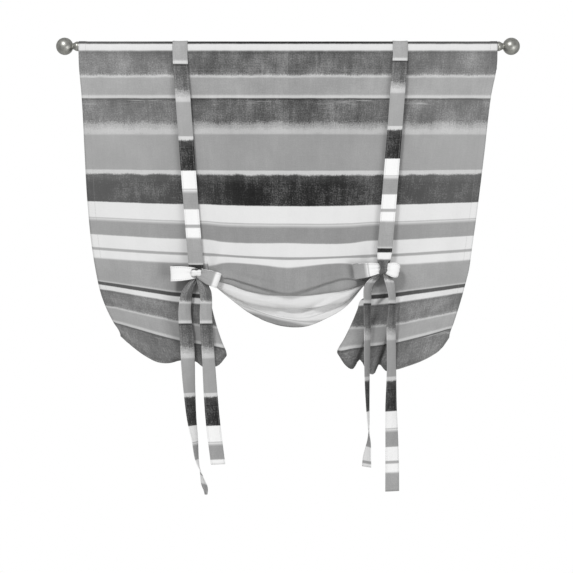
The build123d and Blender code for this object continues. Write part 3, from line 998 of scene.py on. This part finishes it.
def writePrint(bm, layers):
    for face in bm.faces:
        for loop in face.loops:
            loop[layers["uv"]].uv = (loop.vert[layers["across"]], loop.vert[layers["down"]])


def solidify(piece, thickness, group=None, thin=0.0, materialOffset=0):
    modifier = piece.modifiers.new("clothThickness", "SOLIDIFY")
    modifier.thickness = thickness * mm
    modifier.offset = 0.0
    modifier.use_even_offset = False
    modifier.material_offset = materialOffset
    if group:
        modifier.vertex_group = group
        modifier.thickness_vertex_group = thin


def makeCurtain(printed, reversePrint):
    zones = makeClothGrids()
    addClothDetail(zones)
    bm, layers = newSheetMesh()
    for zone in zones:
        addSheetGrid(bm, zone["grid"], layers)
    # the zones are joined down to the pinches, which lie a few mm below the knots' height
    seamEnd = -(cloth["knotDrop"] + 7) * mm
    seam = [vert for vert in bm.verts if vert.is_boundary and vert.co.z > seamEnd]
    bmesh.ops.remove_doubles(bm, verts=seam, dist=0.01 * mm)
    writePrint(bm, layers)
    hem = bm.verts.layers.deform.verify()
    edge = (cloth["width"] / 2 - cloth["sideHem"]) * mm
    for vert in bm.verts:
        inSideHem = abs(vert[layers["across"]]) > edge
        inBottomHem = vert[layers["down"]] > cloth["hemPrint"] * mm
        vert[hem][0] = 1.0 if inSideHem or inBottomHem else 0.0
    piece = newPiece("curtain_cloth", bm, [printed, reversePrint])
    piece.vertex_groups.new(name="hems")
    solidify(piece, cloth["hemThickness"], "hems", cloth["thickness"] / cloth["hemThickness"], 1)
    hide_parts("curtain_panel")
    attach(piece, fixedBody)


# The ties: each one long strap, over the rod and knotted in a bow

tie = {
    "width": 38.0,
    "flatLength": 2650.0,      # over the rod, down both faces, round both loops and down both ends
    "thickness": 1.3,
    "seamInset": 3.5,
    "stitch": 3.5,
    "meshStep": 6.0,
    "acrossCells": 16,
    "saddleRadius": 13.9,
    "pleat": 3.2,              # depth of the pleats where a strap is fully gathered
    "crown": 0.8,              # how much a strap rounds across
    "dent": 0.5,
    "knotForward": 2.5,
    "peek": 1.6,               # how far a loop's rear half shows above its front half
}

# strapPrint gives the print at heights down the strap, tailPrint its place at the rod's
# height and its change with height, and each tail's rows are x, y, z, turn and width
bows = {
    "left": {
        "top": -275.0,
        "knot": (-232, -22, -579),
        "strapPrint": [(0, 104), (-47, 145), (-318, 416), (-560, 634.5), (-640, 712)],
        "tailPrint": (-593.0, -1.0447),
        "knotPrint": 649.5,
        "knotHalf": (13.0, 11.5, 14.5),
        "knotWaist": 0.06,
        "knotTilt": 2.0,
        "strapFoot": (38, 32),
        "loops": [
            {"side": -1, "length": 66, "droop": 2,
             "widths": (31, 38, 38), "print": (459, 418, 380)},
            {"side": 1, "length": 60, "droop": 20,
             "widths": (27, 38, 38), "print": (618, 556, 512)},
        ],
        "tails": [
            [
                (-234, -24, -590, 20, 14), (-254, -29, -622, 36, 32),
                (-261, -31, -660, 39, 38), (-256, -31, -748, 23, 38),
                (-250, -31, -875, 43, 38), (-243, -31, -957, 58, 38),
                (-236, -31, -1003, 70, 38), (-229, -31, -1059, 84, 38),
                (-220, -31, -1088, 100, 38), (-212, -31, -1118, 118, 34),
                (-208, -31, -1140, 128, 6),
            ],
            [
                (-226, -26, -590, 15, 16), (-211, -31, -622, 38, 36),
                (-208, -33, -692, 38, 38), (-202, -33, -790, 37, 38),
                (-190, -33, -958, 22, 38), (-177, -33, -1064, 22, 38),
            ],
        ],
    },
    "right": {
        "top": 286.0,
        "knot": (242, -22, -566),
        "strapPrint": [(0, 102), (-38, 145), (-288, 416), (-520, 636), (-620, 724)],
        "tailPrint": (-504.5, -0.991),
        "knotPrint": 684.0,
        "knotHalf": (14.5, 18.0, 14.5),
        "knotWaist": 0.42,
        "knotTilt": 4.0,
        "strapFoot": (34, 26),
        "loops": [
            {"side": -1, "length": 78, "droop": 8,
             "widths": (27, 38, 38), "print": (426, 494, 550)},
            {"side": 1, "length": 40, "droop": 12,
             "widths": (28, 37, 31), "print": (507, 540, 580)},
        ],
        "tails": [
            [
                (236, -26, -577, 25, 16), (205, -34, -609, 52, 36),
                (201, -36, -655, 58, 38), (201, -36, -724, 62, 38),
                (200, -36, -812, 67, 38), (202, -36, -918, 76, 38),
                (204, -36, -970, 83, 38), (205, -36, -1003, 98, 38),
                (200, -36, -1046, 118, 38), (199, -36, -1070, 124, 38),
            ],
            [
                (248, -26, -577, 15, 16), (259, -33, -609, 48, 36),
                (261, -35, -724, 50, 38), (262, -35, -834, 49, 38),
                (261, -34, -918, 39, 38), (263, -33, -1003, 30, 38),
                (264, -32, -1083, 23, 38), (264, -32, -1132, 21, 38),
            ],
        ],
    },
}


def ribbonGrid(stations, pleats):
    # stations: x, y, z, the direction across as x, y, z, the width and the print's place
    values = np.array(stations, float)
    gaps = np.linalg.norm(np.diff(values[:, :3], axis=0), axis=1)
    stops = np.concatenate([[0.0], np.cumsum(np.maximum(gaps, leastGap))])
    fine = smoothThrough(values, stops, evenPlaces(stops, tie["meshStep"]))
    centre, across = fine[:, :3], fine[:, 3:6]
    across = across / np.linalg.norm(across, axis=1, keepdims=True)
    along = np.gradient(centre, axis=0)
    along /= np.linalg.norm(along, axis=1, keepdims=True)
    normal = np.cross(along, across)
    normal /= np.linalg.norm(normal, axis=1, keepdims=True) + 1e-9
    width = np.minimum(fine[:, 6:7], tie["width"])
    gathered = 1 - width / tie["width"]
    place = np.linspace(-0.5, 0.5, tie["acrossCells"] + 1)
    columns = []
    for p in place:
        lift = tie["crown"] * math.cos(math.pi * p)
        lift = lift + tie["pleat"] * gathered * math.cos(2 * math.pi * pleats * p)
        point = centre + across * width * p + normal * lift
        flat = np.full_like(width, p * tie["width"])
        columns.append(np.concatenate([point, flat, fine[:, 7:8]], axis=1))
    return np.stack(columns, axis=1)


def strapRibbon(bow, side):
    # up from the knot in front, over the pocket, down behind, and under the gathered cloth
    top, knot = bow["top"], bow["knot"]
    pinch, outwards = side["pinch"], side["side"]
    radius = tie["saddleRadius"]
    sideways = (1, 0, 0)
    foot, neck = bow["strapFoot"]
    front = [
        (lerp(top, knot[0], 0.95), -22, knot[2] + 24, foot),
        (lerp(top, knot[0], 0.9), -21, knot[2] + 50, 38),
        (lerp(top, knot[0], 0.7), -19, knot[2] + 150, 38),
        (lerp(top, knot[0], 0.45), -16, knot[2] / 2, 38),
        (lerp(top, knot[0], 0.15), -14.5, knot[2] / 5, 38),
        (top, -radius, -12, 38),
    ]
    saddle = []
    for step in range(7):
        angle = math.pi * step / 6
        saddle.append((top, -radius * math.cos(angle), radius * math.sin(angle), 38))
    rear = [
        (top, radius, -12, 38),
        (lerp(top, knot[0], 0.5), 22, knot[2] / 2, 38),
        (lerp(knot[0], pinch[0], 0.5), 32, pinch[2] + 30, 34),
        (pinch[0] + outwards, 30, pinch[2] - 4, 16),
        (pinch[0] + outwards * 2, 20, pinch[2] - 20, 12),
        (pinch[0] + outwards * 2, 4, pinch[2] - 26, 12),
        (pinch[0] + outwards * 3, -12, pinch[2] - 22, 12),
        (pinch[0] + outwards * 8, -20, pinch[2] - 8, 14),
        (lerp(pinch[0], knot[0], 0.8), knot[1], lerp(pinch[2], knot[2], 0.7), 16),
    ]
    printHeights, prints = zip(*bow["strapPrint"])
    downs = [-height for height in printHeights]
    knotEnd = [(knot[0], knot[1] - 6, knot[2] + 6, neck)]
    stations = []
    for x, y, z, width in knotEnd + front:
        down = smoothThrough(prints, downs, np.array([-z]))[0]
        stations.append((x, y, z, *sideways, width, down))
    for number, (x, y, z, width) in enumerate(saddle):
        stations.append((x, y, z, *sideways, width, prints[0] - 3 * number))
    for x, y, z, width in rear:
        stations.append((x, y, z, *sideways, width, prints[0] - 20 + z))
    return ribbonGrid(stations, 2)


def loopRibbon(knot, loop):
    droop = math.radians(loop["droop"])
    side = loop["side"]
    along = np.array([side * math.cos(droop), 0, -math.sin(droop)])
    across = (side * math.sin(droop), 0, math.cos(droop))
    # widths at the knot, at the fullest part and at the fold; each row is share, depth, width
    neck, full, end = loop["widths"]
    outline = [
        (0.04, -6.0, neck - 5), (0.22, -12.0, neck), (0.55, -18.0, lerp(neck, full, 0.8)),
        (0.78, -17.5, full), (0.9, -15.5, lerp(full, end, 0.4)), (0.98, -12.5, end),
        (1.0, -8.5, end), (0.98, -5.0, end), (0.9, -2.5, lerp(full, end, 0.4)),
        (0.78, -1.0, full), (0.5, 0.5, lerp(neck, full, 0.6)), (0.04, 3.0, neck - 6),
    ]
    fold = 6
    first, turn, last = loop["print"]
    stations = []
    for number, (share, depth, width) in enumerate(outline):
        centre = np.array(knot) + along * loop["length"] * share + [0, depth, 0]
        if number <= fold:
            down = lerp(turn, first, 1 - share)
        else:
            down = lerp(turn, last, 1 - share)
            centre[2] += tie["peek"] * min(1.0, (number - fold) / 2)
        stations.append((*centre, *across, width, down))
    return ribbonGrid(stations, 3)


def tailRibbon(tail, printStart, printRate):
    stations = []
    for x, y, z, turn, width in tail:
        angle = math.radians(turn)
        across = (math.cos(angle), math.sin(angle), 0)
        stations.append((x, y, z, *across, width, printStart + printRate * z))
    return ribbonGrid(stations, 2)


def knotRibbon(bow):
    # the strap's own turn round the gathered middle of the bow
    x, y, z = bow["knot"]
    halfWidth, halfHeight, halfDepth = bow["knotHalf"]
    tilt = math.radians(bow["knotTilt"])
    across = (math.cos(tilt), 0, math.sin(tilt))
    stations = []
    for step in range(13):
        angle = 2 * math.pi * step / 12
        squeeze = 1 - bow["knotWaist"] * math.cos(angle) ** 2
        stations.append((
            x, y - tie["knotForward"] - halfDepth * math.cos(angle),
            z + halfHeight * math.sin(angle),
            *across, 2 * halfWidth * squeeze, bow["knotPrint"] - halfHeight * math.sin(angle),
        ))
    return ribbonGrid(stations, 2)


def makeTie(name, printed):
    bow = bows[name]
    grids = [strapRibbon(bow, sides[name])]
    grids += [loopRibbon(bow["knot"], loop) for loop in bow["loops"]]
    grids.append(knotRibbon(bow))
    grids += [tailRibbon(tail, *bow["tailPrint"]) for tail in bow["tails"]]
    bm, layers = newSheetMesh()
    for grid in grids:
        for row in grid:
            for point in row:
                spot = Vector((point[3] * 0.07, point[4] * 0.05, point[0] * 0.02))
                point[1] += tie["dent"] * noise.noise(spot)
        addSheetGrid(bm, grid, layers)
    writePrint(bm, layers)
    piece = newPiece(f"{name}_tie_strap", bm, [printed])
    solidify(piece, tie["thickness"])
    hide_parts(f"{name}_tie")
    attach(piece, fixedBody)


# The ball finials, turned from a flared neck to a ball

finial = {
    "segments": 64,
    "ballRadius": 22.0,
    "ballReach": 35.0,         # from the rod's end to the ball's centre
    "flangeRadius": 12.25,
    "flangeLip": 4.0,
    "edgeRound": 0.5,
    "neckRadius": 7.6,
    "rodEnd": 535.0,
    "bore": 3.1,
}


def finialProfile():
    # the turned outline: a flange with rounded edges, a flare down to the neck, then the ball
    flange, lip = finial["flangeRadius"], finial["flangeLip"]
    neck, ball, reach = finial["neckRadius"], finial["ballRadius"], finial["ballReach"]
    neckReach = reach - math.sqrt(ball**2 - neck**2)
    edge, chamfer = finial["edgeRound"], finial["edgeRound"] * 0.3
    points = [(0.0, finial["bore"]), (0.0, flange - edge)]
    points += [(chamfer, flange - chamfer), (edge, flange)]
    for step in range(13):
        share = step / 12
        fall = (1 - math.cos(math.pi * share)) / 2
        points.append((lerp(lip, neckReach, share), lerp(flange, neck, lerp(share, fall, 0.5))))
    first = math.asin(neck / ball)
    for step in range(1, 29):
        angle = lerp(first, math.pi, step / 28)
        points.append((reach - ball * math.cos(angle), ball * math.sin(angle)))
    points[-1] = (reach + ball, 0.0)
    return points


def makeFinial(name, side, body, node, material):
    bm = bmesh.new()
    verts = [bm.verts.new(Vector((side * (finial["rodEnd"] + along), 0, radius)) * mm)
             for along, radius in finialProfile()]
    edges = [bm.edges.new(pair) for pair in zip(verts, verts[1:])]
    bmesh.ops.spin(bm, geom=verts + edges, cent=(0, 0, 0), axis=(1, 0, 0), angle=2 * math.pi,
                   steps=finial["segments"], use_merge=True)
    bmesh.ops.remove_doubles(bm, verts=bm.verts, dist=0.000005)
    bmesh.ops.holes_fill(bm, edges=[edge for edge in bm.edges if edge.is_boundary])
    bmesh.ops.recalc_face_normals(bm, faces=bm.faces)
    piece = newPiece(name, bm, [material])
    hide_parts(node)
    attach(piece, body)


# Matte floor paint: pale and even, far enough below to leave the view from underneath free
floor = {
    "height": -3200.0,
    "halfSize": 2500.0,
    "color": "#f2f2f0",
    "roughness": 0.8,
}


def makeFloor():
    bm = bmesh.new()
    bmesh.ops.create_grid(bm, x_segments=1, y_segments=1, size=floor["halfSize"] * mm)
    bmesh.ops.translate(bm, verts=bm.verts, vec=(0, 0, floor["height"] * mm))
    material, tree, shader = newMaterial("matte_floor_paint")
    setInputs(tree, shader, {"Base Color": hexColor(floor["color"]),
                             "Roughness": floor["roughness"]})
    newPiece("floor", bm, [material])


def dressNode(node, material):
    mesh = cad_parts[node].data
    mesh.materials.clear()
    mesh.materials.append(material)


makeCamera()
makeWorld()
for name, light in view["lights"].items():
    makeAreaLight(name, *light)
makeFloor()
print("camera, lights and floor placed")

stitch = cloth["stitch"]
curtainSeams = [
    ("upright", cloth["width"] / 2 - cloth["sideHem"], stitch),
    ("level", cloth["pocketDrop"] + cloth["printTop"], stitch),
    ("level", cloth["hemPrint"], stitch),
]
strapSeams = [("upright", tie["width"] / 2 - tie["seamInset"], tie["stitch"])]
printed = makePrintedLinen("printed_slub_linen", curtainSeams)
reversePrint = makePrintedLinen("printed_slub_linen_reverse", curtainSeams, reverse=True)
tiePrint = makePrintedLinen("printed_slub_linen_strap", strapSeams, linen["strapInk"])
nickelPlate = makeBrushedPlate("brushed_nickel", nickel)
zincPlate = makeBrushedPlate("zinc_plate", zinc)
plastic = makeMouldedPlastic("moulded_polypropylene")
print("materials made")

makeCurtain(printed, reversePrint)
print("curtain made")
for name in ("left", "right"):
    makeTie(name, tiePrint)
print("ties made")

makeFinial("left_ball_finial", -1, fixedBody, "left_finial", nickelPlate)
makeFinial("right_ball_finial", 1, slidingBody, "right_finial", nickelPlate)
for node in ("rod_outer_tube", "rod_inner_tube"):
    dressNode(node, nickelPlate)
for node in ("left_finial_stud", "right_finial_stud"):
    dressNode(node, zincPlate)
for node in ("left_end_plug", "right_end_plug"):
    dressNode(node, plastic)
print("rod and finials made")
